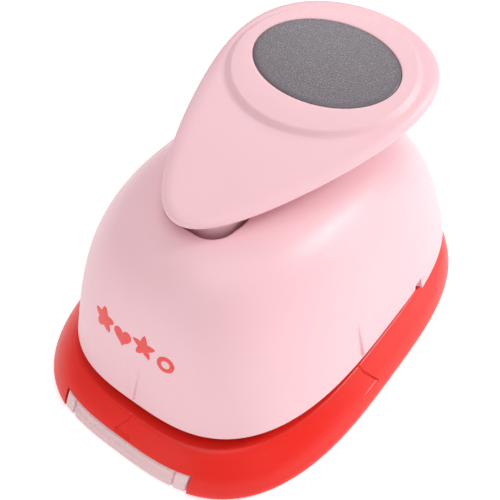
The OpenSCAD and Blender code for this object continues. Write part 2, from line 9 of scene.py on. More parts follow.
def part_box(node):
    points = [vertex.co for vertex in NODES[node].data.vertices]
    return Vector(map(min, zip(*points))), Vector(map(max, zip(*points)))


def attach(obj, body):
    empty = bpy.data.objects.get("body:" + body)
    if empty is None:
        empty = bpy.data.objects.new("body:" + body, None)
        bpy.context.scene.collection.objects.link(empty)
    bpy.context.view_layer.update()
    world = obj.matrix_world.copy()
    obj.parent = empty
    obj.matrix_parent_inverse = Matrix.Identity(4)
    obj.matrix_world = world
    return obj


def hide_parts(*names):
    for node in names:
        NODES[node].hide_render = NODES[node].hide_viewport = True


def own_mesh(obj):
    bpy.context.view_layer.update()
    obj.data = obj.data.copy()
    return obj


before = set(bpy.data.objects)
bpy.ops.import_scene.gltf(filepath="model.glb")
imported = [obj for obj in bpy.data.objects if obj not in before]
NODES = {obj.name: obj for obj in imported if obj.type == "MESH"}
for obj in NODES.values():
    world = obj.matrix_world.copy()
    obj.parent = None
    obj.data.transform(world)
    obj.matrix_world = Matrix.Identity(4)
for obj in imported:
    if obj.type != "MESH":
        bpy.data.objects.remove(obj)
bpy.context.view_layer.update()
MM = 0.001

# ---------------------------------------------------------------- sizes
# millimetres unless a comment says otherwise, angles in radians
BASE_L, BASE_W, BASE_N, DECK = 95.0, 65.6, 3.03, 7.9
RIM, REAR = 5.1, 2.2
HL, HW, HY, HN = 87.8, 56.8, 2.3, 2.97
ROOF, THROAT, FOOT = 42.5, 11.0, 8.2
POWER, ROOF_N, ROOF_CY = 4.36, 2.43, -1.7
DRAFT, SLOPE, WALL = math.tan(math.radians(11.9)), 0.08, 2.2
SLOT_Y0, SLOT_Y1, SLOT_W, SLOT_R = -25.2, 3.6, 13.2, 4.4
PUNCH_Y, THROAT_END = -7.6, 17.0
LEVER_Z, TILT = 51.1, math.radians(8)
LEVER_A, LEVER_B, LEVER_Y, SWELL, FULL = 18.5, 31.5, 3.5, 0.45, 0.13
NOSE_SKIRT, TAIL_SKIRT, PLATE = 2.0, 3.7, 1.7
STEP_A, STEP_B, STEP_Y, STEP_H = 18.3, 17.8, 14.7, 0.9
STEP_ROLL = 1.4
PAD_A, PAD_B, PAD_Y = 14.4, 11.0, 15.5
PAD_SUNK, PAD_EDGE, PAD_LIFT = 1.3, 0.45, 0.07
LIP_HALF, LIP_TOP, TRAY_HALF, TRAY_REAR = 15.1, 4.0, 14.2, 32.0
TRAY_FRONT, NOTCH_REAR, DRAWER_LOW, LIP_BACK = -43.0, -39.5, 0.4, -42.8
MARK_LOW, MARK_TOP, SIDE_MARK_TOP, MARK_HALF = 11.9, 23.0, 22.5, 1.55
BEND_Z, ROOF_PH, WALL_PH = 24.0, math.radians(60), math.radians(9)
EDGE, INNER_EDGE, SLOT_EDGE = 0.5, 0.3, 0.6
THROAT_ENDS = (THROAT_END - 3, THROAT_END)
SHELF, CREASE_Z = 6.0, 7.4
SCREW_X, SCREW_Y = 19.2, 26.0
BOSS_X, BOSS_Y = 16.0, 36.0
SPRING_X, SPRING_R, WIRE_R, SPRING_TURNS = 17.5, 3.0, 0.45, 5
PRINT_X, PRINT_STEP, PRINT_Z = -7.6, 4.7, 26.6


# ---------------------------------------------------------------- materials
class Mat:
    """A node material built step by step; self.b is its shader."""

    def __init__(self, name):
        self.m = bpy.data.materials.new(name)
        self.m.use_nodes = True
        self.t = self.m.node_tree
        self.b = self.t.nodes["Principled BSDF"]
        self.co = self.add("ShaderNodeTexCoord").outputs["Object"]

    def add(self, kind, **inputs):
        n = self.t.nodes.new(kind)
        for k, v in inputs.items():
            n.inputs[k.replace("_", " ")].default_value = v
        return n

    def link(self, a, b):
        self.t.links.new(a, b)

    def sets(self, **values):
        for k, v in values.items():
            self.b.inputs[k.replace("_", " ")].default_value = v
        return self

    def noise(self, scale, detail=3.0, rough=0.55, stretch=None):
        n = self.add("ShaderNodeTexNoise", Scale=scale, Detail=detail, Roughness=rough)
        src = self.co
        if stretch:
            mp = self.add("ShaderNodeMapping")
            mp.inputs["Scale"].default_value = stretch
            self.link(src, mp.inputs["Vector"])
            src = mp.outputs["Vector"]
        self.link(src, n.inputs["Vector"])
        return n.outputs["Fac"]

    def ramp(self, fac, stops):
        r = self.add("ShaderNodeValToRGB")
        el = r.color_ramp.elements
        while len(el) < len(stops):
            el.new(0.5)
        for e, (p, c) in zip(el, stops):
            e.position, e.color = p, (*c, 1)
        self.link(fac, r.inputs["Fac"])
        return r.outputs["Color"]

    def span(self, fac, lo, hi, a=0.0, b=1.0):
        r = self.add("ShaderNodeMapRange")
        for k, v in (("From Min", a), ("From Max", b), ("To Min", lo), ("To Max", hi)):
            r.inputs[k].default_value = v
        self.link(fac, r.inputs["Value"])
        return r.outputs["Result"]

    def bump(self, height, strength, distance, under=None):
        n = self.add("ShaderNodeBump", Strength=strength, Distance=distance)
        self.link(height, n.inputs["Height"])
        if under:
            self.link(under, n.inputs["Normal"])
        return n.outputs["Normal"]

    def colour(self, out):
        self.link(out, self.b.inputs["Base Color"])

    def rough(self, out):
        self.link(out, self.b.inputs["Roughness"])

    def normal(self, out):
        self.link(out, self.b.inputs["Normal"])


def linear(c):
    return c / 12.92 if c <= 0.04045 else ((c + 0.055) / 1.055) ** 2.4


def rgb(r, g, b):
    """A display colour, 0 to 255, as linear numbers."""
    return tuple(linear(c / 255) for c in (r, g, b))


def mix(a, b, t):
    return tuple(x + (y - x) * t for x, y in zip(a, b))


def plastic(name, tone, deep, rough, grain=1.0, glow=0.0, shine=0.5):
    """Satin moulded plastic: a fine spark-eroded grain, faint flow clouds and slight scuffing."""
    m = Mat(name)
    cloud = m.noise(45, 3, 0.5)
    m.colour(m.ramp(cloud, [(0.3, mix(tone, deep, 0.12)), (0.7, tone)]))
    m.rough(m.span(m.noise(700, 4, 0.6), rough - 0.05, rough + 0.05, 0.3, 0.7))
    waves = m.bump(m.noise(160, 2, 0.5), 0.05, 0.0002)
    m.normal(m.bump(m.noise(5200, 2, 0.6), 0.22 * grain, 0.00003, waves))
    m.sets(Specular_IOR_Level=shine, IOR=1.5)
    if glow:
        m.sets(Subsurface_Weight=glow, Subsurface_Radius=(1.0, 0.45, 0.4), Subsurface_Scale=0.0015)
    return m.m


PINK = rgb(237, 193, 200)
PINK_DEEP = rgb(229, 158, 168)
RED = rgb(230, 30, 16)
RED_DEEP = rgb(205, 20, 14)

M = {
    "pink": plastic("pink_satin", PINK, PINK_DEEP, 0.4, 0.7, 0.12, 0.6),
    "pink_lever": plastic("pink_lever", PINK, PINK_DEEP, 0.45, 0.7, 0.12, 0.6),
    "red": plastic("red_satin", RED, RED_DEEP, 0.34, 0.5, 0.05, 0.35),
    "white": plastic("white_moulding", rgb(232, 230, 226), rgb(205, 203, 198), 0.5, 0.8),
    "ink": plastic("red_print", rgb(232, 62, 56), rgb(200, 40, 40), 0.3, 0.3),
}


def pad_material():
    m = Mat("grey_leather_grain")
    v = m.add("ShaderNodeTexVoronoi", Scale=2100.0)
    v.feature = "DISTANCE_TO_EDGE"
    w = m.add("ShaderNodeVectorMath")
    w.operation = "MULTIPLY_ADD"
    warp = m.add("ShaderNodeTexNoise", Scale=800.0, Detail=3.0)
    m.link(m.co, warp.inputs["Vector"])
    m.link(warp.outputs["Color"], w.inputs[0])
    w.inputs[1].default_value = (0.0007,) * 3
    m.link(m.co, w.inputs[2])
    m.link(w.outputs["Vector"], v.inputs["Vector"])
    cell = m.span(v.outputs["Distance"], 0, 1, 0.0, 0.28)
    m.colour(m.ramp(cell, [(0.0, rgb(98, 90, 97)), (0.6, rgb(112, 104, 111)), (1.0, rgb(118, 110, 117))]))
    m.rough(m.span(cell, 0.38, 0.27))
    m.normal(m.bump(cell, 0.35, 0.00006, m.bump(m.noise(4200, 3), 0.2, 0.00003)))
    return m.m


def clear_material():
    m = Mat("clear_moulding")
    m.sets(Transmission_Weight=0.15, IOR=1.47, Subsurface_Weight=0.3, Subsurface_Scale=0.002)
    m.colour(m.ramp(m.noise(60, 2), [(0.3, rgb(240, 204, 208)), (0.7, rgb(246, 214, 217))]))
    m.rough(m.span(m.noise(420, 3), 0.2, 0.3, 0.3, 0.7))
    m.normal(m.bump(m.noise(900, 2), 0.05, 0.00003))
    return m.m


def metal(name, tone, dark, rough, stretch, scale=900, depth=0.25):
    """Metal with a directional ground or drawn finish and faint stains."""
    m = Mat(name)
    lines = m.noise(scale, 4, 0.6, stretch)
    m.colour(m.ramp(m.noise(90, 4, 0.6), [(0.3, dark), (0.6, tone)]))
    m.rough(m.span(lines, rough - 0.08, rough + 0.1, 0.3, 0.7))
    m.normal(m.bump(lines, depth, 0.00003))
    m.sets(Metallic=1.0)
    return m.m


M["pad"] = pad_material()
M["clear"] = clear_material()
M["plate"] = metal("rolled_steel", rgb(196, 198, 202), rgb(165, 167, 172), 0.36, (1, 12, 1))
M["tool"] = metal("ground_steel", rgb(214, 216, 220), rgb(186, 188, 194), 0.22, (14, 14, 1), 700)
M["spring"] = metal("spring_wire", rgb(150, 148, 146), rgb(112, 110, 110), 0.3, (3, 3, 14), 1200)
M["zinc"] = metal("zinc_screw", rgb(205, 206, 208), rgb(160, 164, 172), 0.33, (5, 5, 5), 1500)
SLOT_MATERIAL = {
    "pink_plastic": "pink", "red_plastic": "red", "grey_grip": "pad", "clear_plastic": "clear",
    "white_plastic": "white", "plate_steel": "plate", "tool_steel": "tool", "spring_steel": "spring",
    "screw_steel": "zinc",
}


# ---------------------------------------------------------------- mesh helpers
def make(name, verts, faces, angle=35):
    me = bpy.data.meshes.new(name)
    me.from_pydata((np.asarray(verts, float) * MM).tolist(), [], [list(map(int, f)) for f in faces])
    me.update()
    ob = bpy.data.objects.new(name, me)
    bpy.context.scene.collection.objects.link(ob)
    finish_mesh(ob, angle)
    return ob


def finish_mesh(ob, angle=35):
    bm = bmesh.new()
    bm.from_mesh(ob.data)
    bmesh.ops.remove_doubles(bm, verts=bm.verts, dist=2e-7)
    bmesh.ops.recalc_face_normals(bm, faces=bm.faces)
    bm.to_mesh(ob.data)
    bm.free()
    ob.data.shade_smooth()
    ob.data.set_sharp_from_angle(angle=math.radians(angle))


def grid_faces(rows, cols, wrap_rows=False):
    """Quads over rows of closed rings with cols points each."""
    i, j = np.meshgrid(np.arange(cols), np.arange(rows if wrap_rows else rows - 1))
    a = j * cols + i
    b = j * cols + (i + 1) % cols
    c, d = ((j + 1) % rows) * cols + (i + 1) % cols, ((j + 1) % rows) * cols + i
    return np.stack([a, b, c, d], -1).reshape(-1, 4)


def loft(name, rings, angle=35):
    """A closed solid over rings of equal length, flat caps at both ends."""
    rings = [np.asarray(r, float) for r in rings]
    k, m = len(rings[0]), len(rings)
    faces = grid_faces(m, k).tolist() + [list(range(k))[::-1], [m * k - k + i for i in range(k)]]
    return make(name, np.concatenate(rings), faces, angle)


def level(points, z):
    return np.column_stack([points, np.full(len(points), float(z))])


def round_rect(w, y0, y1, r, k=12):
    pts = []
    x = w / 2 - r
    for cx, cy, a0 in ((x, y1 - r, 0), (-x, y1 - r, 90), (-x, y0 + r, 180), (x, y0 + r, 270)):
        for a in np.radians(np.linspace(a0, a0 + 90, k)):
            pts.append((cx + r * math.cos(a), cy + r * math.sin(a)))
    return np.array(pts)


def circle(x, y, r, k=48):
    a = np.arange(k) * 2 * math.pi / k
    return np.column_stack([x + r * np.cos(a), y + r * np.sin(a)])


def block(lo, hi, r=0.0):
    if r:
        q = round_rect(hi[0] - lo[0], lo[1], hi[1], r, 6)
        q[:, 0] += (hi[0] + lo[0]) / 2
    else:
        q = np.array([(hi[0], hi[1]), (lo[0], hi[1]), (lo[0], lo[1]), (hi[0], lo[1])], float)
    return loft("tmp_block", [level(q, lo[2]), level(q, hi[2])])


def side_block(side, x, y, z):
    """A block on one side (-1 or 1). Each span is (low, high), and x counts outward."""
    x0, x1 = sorted((side * x[0], side * x[1]))
    return block((x0, y[0], z[0]), (x1, y[1], z[1]))


def column(x, y, r, z0, z1, k=48):
    return loft("tmp_column", [level(circle(x, y, r, k), z0), level(circle(x, y, r, k), z1)])


def combine(target, tools, operation):
    """Adds or cuts solids. The tools are used up."""
    for tool in tools:
        md = target.modifiers.new("b", "BOOLEAN")
        md.operation, md.solver, md.object = operation, "MANIFOLD", tool
        dg = bpy.context.evaluated_depsgraph_get()
        me = bpy.data.meshes.new_from_object(target.evaluated_get(dg))
        target.modifiers.clear()
        target.data = me
        bpy.data.objects.remove(tool)
    return target


def join(target, others):
    bm = bmesh.new()
    for o in (target, *others):
        bm.from_mesh(o.data)
    bm.to_mesh(target.data)
    bm.free()
    for o in others:
        bpy.data.objects.remove(o)
    finish_mesh(target)
    return target


def place(ob, body, slot, material, *nodes):
    ob.data.materials.clear()
    ob.data.materials.append(M[material])
    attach(ob, body)
    if nodes:
        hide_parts(*nodes)
    return ob


def polar(a, b, n, cy, th):
    """Points of a superellipse in directions th from its centre."""
    c, s = np.cos(th), np.sin(th)
    r = (np.abs(c / a) ** n + np.abs(s / b) ** n) ** (-1.0 / n)
    return np.column_stack([r * c, cy + r * s])


def spread(a, b, n, cy, pitch, windows, fine, edges=()):
    """Directions spaced evenly along an outline, closer in the windows, with close pairs at edges."""
    th = np.linspace(-math.pi, math.pi, 14401)
    p = polar(a, b, n, cy, th)
    seg = np.linalg.norm(np.diff(p, axis=0), axis=1)
    mid = (p[1:] + p[:-1]) / 2
    rate = np.full(len(seg), 1 / pitch)
    for (x, y), half in windows:
        d = np.hypot(mid[:, 0] - x, mid[:, 1] - y)
        near = np.clip((half - d) / 1.5 + 1, 0, 1)
        rate = np.maximum(rate, 1 / pitch + (1 / fine - 1 / pitch) * near)
    cum = np.concatenate([[0], np.cumsum(seg * rate)])
    k = int(round(cum[-1] / 4)) * 4
    out = np.interp(np.arange(k) * cum[-1] / k, cum, th)
    for side in (-1, 1):
        for y in edges:
            t = th[(np.sign(p[:, 0]) == side) & (np.abs(p[:, 1] - y) < 0.02)].mean()
            da = 0.06 / a
            out = out[np.abs(out - t) > 0.35 / a]
            out = np.concatenate([out, [t - da, t + da]])
    return np.sort(out)


# ---------------------------------------------------------------- the dome
def dome_values(z, wall):
    top = ROOF - wall
    lift = np.clip((z - FOOT) / (top - FOOT), 0, 1)
    ph = np.arcsin(lift ** (POWER / 2))
    h = (z - THROAT) / (ROOF - THROAT)
    s = np.cos(ph) ** (2 / POWER) * (1 - DRAFT * (z - THROAT) / 38)
    n = HN + (ROOF_N - HN) * np.clip(h, 0, None)
    return h, s, n, HY + (ROOF_CY - HY) * h


def dome_points(z, th, wall=0.0):
    """Points of the dome at nominal heights z, one for each direction th."""
    z = np.broadcast_to(np.asarray(z, float), th.shape)
    h, s, n, cy = dome_values(z, wall)
    c, sn = np.cos(th), np.sin(th)
    a, b = (HW / 2 - wall) * s, (HL / 2 - wall) * s
    r = (np.abs(c / a) ** n + np.abs(sn / b) ** n) ** (-1 / n)
    x, y = r * c, cy + r * sn
    return np.column_stack([x, y, z - SLOPE * np.clip(h, 0, None) * (y - HY)])


def dome_height(x, y, wall=0.0):
    """Height of the roof over table points."""
    lo, hi = np.full(x.shape, 20.0), np.full(x.shape, ROOF - wall - 1e-6)
    for _ in range(40):
        z = (lo + hi) / 2
        h, s, n, cy = dome_values(z, wall)
        a, b = (HW / 2 - wall) * s + 1e-9, (HL / 2 - wall) * s + 1e-9
        out = np.abs(x / a) ** n + np.abs((y - cy) / b) ** n > 1
        hi, lo = np.where(out, z, hi), np.where(out, lo, z)
    z = (lo + hi) / 2
    h = (z - THROAT) / (ROOF - THROAT)
    return z - SLOPE * np.clip(h, 0, None) * (y - HY)


def front_y(x, z, wall=0.0):
    """Depth of the dome's front wall at width x and height z."""
    zz = z + 0.0
    for _ in range(6):
        h, s, n, cy = dome_values(zz, wall)
        a, b = (HW / 2 - wall) * s, (HL / 2 - wall) * s
        y = cy - b * (1 - np.clip(np.abs(x) / a, 0, 0.999) ** n) ** (1 / n)
        zz = z + SLOPE * np.clip(h, 0, None) * (y - HY)
    return y


def slot_reach(grow, ang):
    """Distance from the slot's middle to its outline, grown, in directions ang."""
    q = round_rect(SLOT_W + 2 * grow, SLOT_Y0 - grow, SLOT_Y1 + grow, SLOT_R + grow, 60)
    q[:, 1] -= (SLOT_Y0 + SLOT_Y1) / 2
    q = np.concatenate([q + (np.roll(q, -1, 0) - q) * f for f in (0, 0.25, 0.5, 0.75)])
    an = np.arctan2(q[:, 1], q[:, 0])
    order = np.argsort(an)
    an, r = an[order], np.hypot(*q.T)[order]
    return np.interp(ang, np.concatenate([an - 2 * math.pi, an, an + 2 * math.pi]), np.tile(r, 3))


def ramp01(v, width):
    t = np.clip(v / width + 0.5, 0, 1)
    return t * t * (3 - 2 * t)


def wedge(u, z, z_tip, z_top, half):
    """Raised pointer: widest and lowest at the top, narrow and highest at its tip."""
    f = np.clip((z - z_tip) / (z_top - z_tip), 0, 1)
    inside = ramp01(0.12 + (half - 0.12) * f - np.abs(u), 0.2) * ramp01(z - z_tip, 0.4)
    return inside * 0.6 * (1 - f) ** 0.7


def profile_z(ph, wall=0.0):
    """Nominal height at angle ph of the dome's profile."""
    return FOOT + (ROOF - wall - FOOT) * math.sin(ph) ** (2 / POWER)


def on_roof(q, wall=0.0, down=0.0):
    """Points of the roof, or of its underside, at table points q."""
    return np.column_stack([q, dome_height(q[:, 0], q[:, 1], wall) - down])


def housing_outside(th, low):
    """Rings from the lower edge up to the roof's last ring, with the pointed marks raised."""
    rows = []
    for a in np.radians(90 * np.linspace(0, 1, 7)):
        turn_in = EDGE * (1 - math.sin(a))
        rows.append(dome_points(low + turn_in, th, turn_in))
    for f in np.linspace(0, 1, 44)[1:]:
        rows.append(dome_points(low + EDGE + (BEND_Z - low - EDGE) * f, th))
    ph0 = math.asin(((BEND_Z - FOOT) / (ROOF - FOOT)) ** (POWER / 2))
    for ph in np.linspace(ph0, ROOF_PH, 62)[1:]:
        rows.append(dome_points(profile_z(ph), th))
    for r in rows:
        x, y, z = r.T
        r[:, 1] -= np.where(y < -20, wedge(x, z, MARK_LOW, MARK_TOP, MARK_HALF), 0)
        side = wedge(y - PUNCH_Y, z, MARK_LOW, SIDE_MARK_TOP, MARK_HALF)
        r[:, 0] += np.where(np.abs(x) > 15, np.sign(x) * side, 0)
    return rows


def housing_roof(last):
    """Rings from the roof's last ring in to the slot, over the slot's rounded edge and down its wall."""
    mid = np.array([0, (SLOT_Y0 + SLOT_Y1) / 2])
    ang = np.arctan2(last[:, 1] - mid[1], last[:, 0])
    out = np.column_stack([np.cos(ang), np.sin(ang)])
    goal = mid + slot_reach(SLOT_EDGE, ang)[:, None] * out
    rows = [on_roof(last + (goal - last) * f) for f in np.linspace(0, 1, 26)[1:]]
    for a in np.radians(np.linspace(0, 90, 7)[1:]):
        q = mid + slot_reach(SLOT_EDGE * (1 - math.sin(a)), ang)[:, None] * out
        rows.append(on_roof(q, 0.0, SLOT_EDGE * (1 - math.cos(a))))
    rows.append(on_roof(rows[-1][:, :2], WALL, -0.3))
    return rows


def housing_inside(slot_edge, th, low):
    """Rings of the underside, from the slot out and down to the lower edge."""
    inner = dome_points(profile_z(ROOF_PH, WALL), th, WALL)[:, :2]
    rows = [on_roof(slot_edge + (inner - slot_edge) * f, WALL) for f in np.linspace(0, 1, 8)]
    for ph in np.linspace(ROOF_PH, WALL_PH, 22)[1:]:
        rows.append(dome_points(profile_z(ph, WALL), th, WALL))
    z_last = profile_z(WALL_PH, WALL)
    for f in np.linspace(0, 1, 8)[1:]:
        rows.append(dome_points(z_last + (low + INNER_EDGE - z_last) * f, th, WALL))
    for a in np.radians((30, 60, 90)):
        wall = WALL - INNER_EDGE * (1 - math.cos(a))
        rows.append(dome_points(low + INNER_EDGE * (1 - math.sin(a)), th, wall))
    return rows


def housing_bosses():
    """Bosses for the two screws, with ribs, kept inside the wall."""
    pieces = []
    a = np.linspace(-math.pi, math.pi, 121)[:-1]
    profile = ((1.5, 20), (1.5, FOOT), (2.85, FOOT), (3.0, FOOT + 0.2), (3.0, 21.5), (2.7, 22))
    for side in (-1, 1):
        boss = loft("boss", [level(circle(side * BOSS_X, BOSS_Y, r, 40), z) for r, z in profile])
        rib = side_block(side, (18.8, 26), (BOSS_Y - 0.7, BOSS_Y + 0.7), (FOOT + 0.1, 21))
        for piece in (boss, rib):
            room = loft("room", [dome_points(z, a, 1.4) for z in np.linspace(FOOT, 36, 40)])
            pieces.append(combine(piece, [room], "INTERSECT"))
    return pieces


def housing_mesh():
    marks = [((0, HY - HL / 2), 2.4), ((HW / 2, PUNCH_Y), 2.4), ((-HW / 2, PUNCH_Y), 2.4)]
    th = spread(HW / 2, HL / 2, HN, HY, 1.05, marks, 0.15, THROAT_ENDS)
    y = dome_points(THROAT, th)[:, 1]
    low = np.where(y > THROAT_ENDS[1], FOOT, np.where(y > THROAT_ENDS[0], THROAT + 1, THROAT))
    rows = housing_outside(th, low)
    rows += housing_roof(rows[-1][:, :2])
    rows += housing_inside(rows[-1][:, :2], th, low)
    shell = make("housing_shell", np.concatenate(rows), grid_faces(len(rows), len(th), True), 38)
    return join(shell, housing_bosses())


place(housing_mesh(), "frame", "pink_plastic", "pink", "housing")


# ---------------------------------------------------------------- the base
PROFILE = np.array([(0, 0.35), (0.5, 0), (DECK * 0.35, 0.14 * RIM), (DECK * 0.6, 0.36 * RIM),
                    (DECK * 0.8, 0.62 * RIM), (DECK * 0.95, 0.88 * RIM), (DECK, RIM)])


def base_inset(z):
    """The flare: how far the rim's outside lies inside the foot, a smooth curve through the profile."""
    zs, v = PROFILE[1:, 0], PROFILE[1:, 1]
    m = np.gradient(v, zs)
    m[0] = 0
    i = np.clip(np.searchsorted(zs, z) - 1, 0, len(zs) - 2)
    h = zs[i + 1] - zs[i]
    t = np.clip((z - zs[i]) / h, 0, 1)
    return ((2 * t**3 - 3 * t**2 + 1) * v[i] + (t**3 - 2 * t**2 + t) * h * m[i]
            + (-2 * t**3 + 3 * t**2) * v[i + 1] + (t**3 - t**2) * h * m[i + 1])


def base_sizes(inset, grow=0.0):
    front = BASE_L / 2 - inset - grow
    rear = BASE_L / 2 - inset / RIM * REAR - grow
    return BASE_W / 2 - inset - grow, (front + rear) / 2, (rear - front) / 2


def base_points(z, inset, th):
    inset = np.broadcast_to(np.asarray(inset, float), th.shape)
    a, b, cy = base_sizes(inset)
    c, s = np.cos(th), np.sin(th)
    r = (np.abs(c / a) ** BASE_N + np.abs(s / b) ** BASE_N) ** (-1 / BASE_N)
    return np.column_stack([r * c, cy + r * s, np.broadcast_to(np.asarray(z, float), th.shape)])


def arrow(u, z, z0, z1, half):
    """Sunk triangle, its point up."""
    f = np.clip((z1 - z) / (z1 - z0), 0, 1)
    edge = np.minimum((half * f - np.abs(u)) * 0.86, z - z0)
    return ramp01(edge, 0.3) * 0.5


def base_rings(th):
    """Rings of the rim from the foot up to the deck, with the triangles sunk."""
    soft = 0.5 + 0.5 * np.clip((-np.sin(th) - 0.55) / 0.3, 0, 1)
    rings = []
    for z in (0.0, 0.08, 0.18, 0.32, 0.5):
        rings.append(base_points(z, 0.35 * (1 - math.sqrt(max(0, 1 - ((0.5 - z) / 0.5) ** 2))), th))
    for z in np.concatenate([np.linspace(0.5, 2.2, 9)[1:], np.linspace(2.2, CREASE_Z, 40)[1:]]):
        rings.append(base_points(z, float(base_inset(np.array(z))), th))
    # the crease round the deck: crisp at the sides, soft at the front
    low = float(base_inset(np.array(CREASE_Z)))
    for f in np.linspace(0, 1, 9)[1:]:
        z = CREASE_Z + (DECK - CREASE_Z) * math.sin(f * math.pi / 2)
        rings.append(base_points(z, low + (RIM + 0.25 * soft - low) * f**1.15, th))
    for r in rings:
        x, y, z = r[:, 0].copy(), r[:, 1].copy(), r[:, 2]
        r[:, 1] += np.where(y < -30, arrow(x, z, 4.7, 7.3, 2.0), 0)
        r[:, 0] -= np.where(np.abs(x) > 18, np.sign(x) * arrow(y - PUNCH_Y, z, 3.5, 7.1, 2.4), 0)
    return rings + [base_points(DECK, RIM + 2.2, th)]


def base_prism(inset, z0, z1):
    """A block with the base's outline, inset."""
    th = np.linspace(-math.pi, math.pi, 161)[:-1]
    q = polar(BASE_W / 2 - inset, BASE_L / 2 - inset, BASE_N, 0, th)
    return loft("prism", [level(q, z0), level(q, z1)])


def base_fittings():
    """Drawer rails, screw bosses with their webs, and the blocks that the housing stands on."""
    add = []
    rail, boss_top = (NOTCH_REAR, 34), SHELF + 0.01
    for s in (-1, 1):
        for x, z in (((14.5, 17.2), (0.4, 2.4)), ((15.6, 17.2), (2.3, 3.7)),
                     ((14.5, 17.2), (3.6, boss_top))):
            add.append(side_block(s, x, rail, z))
        for y in (-SCREW_Y, SCREW_Y):
            add.append(column(s * SCREW_X, y, 3.2, 0.6, boss_top))
            add.append(side_block(s, (SCREW_X, 26.6), (y - 0.8, y + 0.8), (1.5, boss_top)))
        add.append(column(s * BOSS_X, BOSS_Y, 3.2, 0.6, boss_top))
        add.append(side_block(s, (22.2, 23.8), (17, 25), (DECK - 0.01, THROAT + 1.5)))
        add.append(side_block(s, (22.2, 26.4), (14.9, 16.8), (DECK - 0.01, THROAT + 0.75)))
    return add


def base_openings():
    """The die's pocket, the drawer's space, the notch for its lip, and the screw holes."""
    pocket = round_rect(44.4, -31.2, 31.2, 5.2)
    notch = round_rect(2 * LIP_HALF + 0.6, -60, NOTCH_REAR, 0.5)
    cut = [
        loft("c", [level(pocket, SHELF), level(pocket, 9)]),
        block((-14.2, -31, 4.4), (14.2, TRAY_REAR, 7)),
        block((-14.5, -40.5, DRAWER_LOW), (14.5, -30, SHELF)),
        loft("c", [level(notch, -1), level(notch, LIP_TOP + 0.3)]),
    ]
    for x in (-SCREW_X, SCREW_X):
        for y in (-SCREW_Y, SCREW_Y):
            cut += [column(x, y, 1.45, -1, DECK), column(x, y, 2.8, -1, 2.4)]
    for x in (-BOSS_X, BOSS_X):
        cut += [column(x, BOSS_Y, 1.6, -1, 9), column(x, BOSS_Y, 2.99, -1, 2.4)]
    return cut


def base_mesh():
    marks = [((0, -BASE_L / 2), 3.2), ((BASE_W / 2, PUNCH_Y), 3.2), ((-BASE_W / 2, PUNCH_Y), 3.2)]
    th = spread(BASE_W / 2, BASE_L / 2, BASE_N, 0, 1.0, marks, 0.16)
    base = loft("base_shell", base_rings(th))
    combine(base, [base_prism(2.4, -1, 4.4), base_prism(RIM + 1.3, -1, SHELF)], "DIFFERENCE")
    combine(base, base_fittings(), "UNION")
    combine(base, base_openings(), "DIFFERENCE")
    finish_mesh(base, 32)
    return base


place(base_mesh(), "frame", "red_plastic", "red", "base")


# ---------------------------------------------------------------- the clear tray
def drawer():
    """The drawer's open box with its two side runners."""
    profile = ((0.35, 0.4), (0.1, 0.5), (0, 0.75), (0, 3.5), (0.15, 3.7), (0.75, 3.7), (0.9, 3.5),
               (0.9, 1.4), (1.1, 1.2))
    rings = []
    for g, z in profile:
        q = round_rect(2 * (TRAY_HALF - g), TRAY_FRONT + g, TRAY_REAR - g, 1.6 - g * 0.9)
        rings.append(level(q, z))
    box = loft("chip_drawer", rings)
    runners = [side_block(s, (14.19, 15.0), (NOTCH_REAR, TRAY_REAR), (2.6, 3.4)) for s in (-1, 1)]
    return combine(box, runners, "UNION")


def bell(t, middle, width):
    return np.exp(-(((t - middle) / width) ** 2))


def lip_ring(x, zs):
    """The lip's section at x: its ribbed front, which follows the rim, and a flat back."""
    a, b, cy = base_sizes(base_inset(np.maximum(zs, 0.5)), 0.1)
    y = cy - b * (1 - (abs(x) / a) ** BASE_N) ** (1 / BASE_N)
    t = (zs - DRAWER_LOW) / (LIP_TOP - DRAWER_LOW)
    ribs = 0.4 * (1 - np.maximum(bell(t, 0.45, 0.09), bell(t, 0.86, 0.09))) * ramp01(t - 0.08, 0.12)
    e = LIP_HALF - abs(x)
    nub = 1 - ramp01(e - 2.6, 0.3)
    groove = bell(e, 2.75, 0.2) * 0.55
    side = 0.5 - math.sqrt(max(0.0, 0.25 - max(0.0, 0.5 - e) ** 2))
    corner = np.clip((np.abs(t - 0.5) - 0.4) / 0.1, 0, 1)
    ends = 0.45 * (1 - np.sqrt(np.clip(1 - corner**2, 0, 1)))
    y = y + ribs * (1 - nub) + groove + max(0.0, side) + ends
    front = np.column_stack([np.full(len(zs), x), y, zs])
    return np.concatenate([front, [(x, LIP_BACK, LIP_TOP), (x, LIP_BACK, DRAWER_LOW)]])


def tray_mesh():
    tray = drawer()
    end = np.linspace(-LIP_HALF, -12.0, 26)
    xs = np.concatenate([end, np.linspace(-12.0, 12.0, 61)[1:-1], -end[::-1]])
    zs = np.linspace(DRAWER_LOW, LIP_TOP, 44)
    join(tray, [loft("lip", [lip_ring(x, zs) for x in xs], 50)])
    tray.name = "chip_drawer"
    return tray


place(tray_mesh(), "tray", "clear_plastic", "clear", "chip_tray")


# ---------------------------------------------------------------- the lever
def tilted(p):
    y, z = p[:, 1], p[:, 2]
    return np.column_stack([p[:, 0], y * math.cos(TILT) - z * math.sin(TILT),
                            LEVER_Z + y * math.sin(TILT) + z * math.cos(TILT)])


